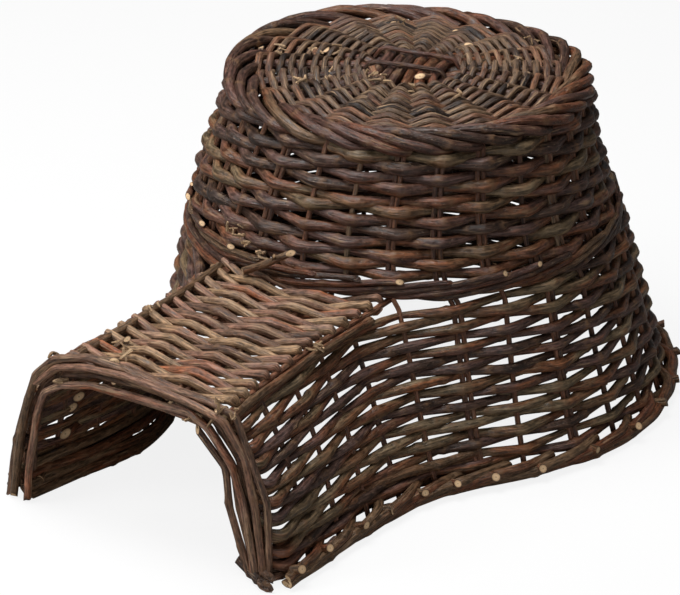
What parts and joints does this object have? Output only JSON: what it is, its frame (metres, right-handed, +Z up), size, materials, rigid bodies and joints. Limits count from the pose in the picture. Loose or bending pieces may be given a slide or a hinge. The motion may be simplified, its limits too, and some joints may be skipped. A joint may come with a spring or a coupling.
{
  "type": "wicker hedgehog basket",
  "caption": "Round willow basket with a woven lid, a flared skirt and a roofed entrance tunnel, open underneath, used as a shelter for a hedgehog.",
  "frame": {"origin": "centre of the footprint's bounding box, on the ground under the foot border", "axes": "+Z up, the tunnel's mouth faces -Y, +X to the right of someone facing the mouth"},
  "size_m": [0.4936, 0.6521, 0.3009],
  "materials": {
    "dark_willow": "dark brown willow bark, satin",
    "red_willow": "reddish brown willow bark, satin",
    "olive_willow": "olive brown willow bark, satin",
    "grey_willow": "weathered grey-brown willow bark, matt",
    "split_willow": "peeled split willow, matt"
  },
  "bodies": {
    "root": {"lid_long_sticks": "red_willow", "lid_cross_sticks": "red_willow", "lid_binding": "split_willow", "rim_border": "dark_willow", "upper_stakes": "red_willow", "waist_border": "dark_willow", "skirt_stakes": "red_willow", "tunnel_stakes_right": "red_willow", "tunnel_stakes_left": "red_willow", "foot_border": "dark_willow", "roof_stakes": "red_willow", "roof_weavers": "grey_willow", "roof_edge_right": "dark_willow", "roof_edge_left": "dark_willow", "mouth_hoop": "grey_willow", "hoop_lashings": "split_willow", "lid_weaver_1": "grey_willow", "lid_weaver_2": "grey_willow", "lid_weaver_3": "grey_willow", "lid_weaver_4": "grey_willow", "lid_weaver_5": "grey_willow", "lid_weaver_6": "grey_willow", "lid_weaver_7": "grey_willow", "lid_weaver_8": "grey_willow", "lid_weaver_9": "grey_willow", "lid_weaver_10": "grey_willow", "upper_weaver_1": "dark_willow", "upper_weaver_2": "dark_willow", "upper_weaver_3": "dark_willow", "upper_weaver_4": "dark_willow", "upper_weaver_5": "dark_willow", "upper_weaver_6": "dark_willow", "upper_weaver_7": "dark_willow", "upper_weaver_8": "dark_willow", "upper_weaver_9": "dark_willow", "skirt_weaver_1": "olive_willow", "skirt_weaver_2": "olive_willow", "skirt_weaver_3": "olive_willow", "skirt_weaver_4": "olive_willow", "skirt_weaver_5": "olive_willow", "skirt_weaver_6": "olive_willow", "skirt_weaver_7": "olive_willow", "skirt_weaver_8": "olive_willow", "skirt_weaver_9": "olive_willow", "skirt_weaver_10": "olive_willow", "skirt_weaver_11": "olive_willow", "skirt_weaver_12": "olive_willow", "skirt_weaver_13": "olive_willow", "skirt_weaver_14": "olive_willow", "skirt_weaver_15": "olive_willow", "skirt_weaver_16": "olive_willow"}
  },
  "joints": []
}
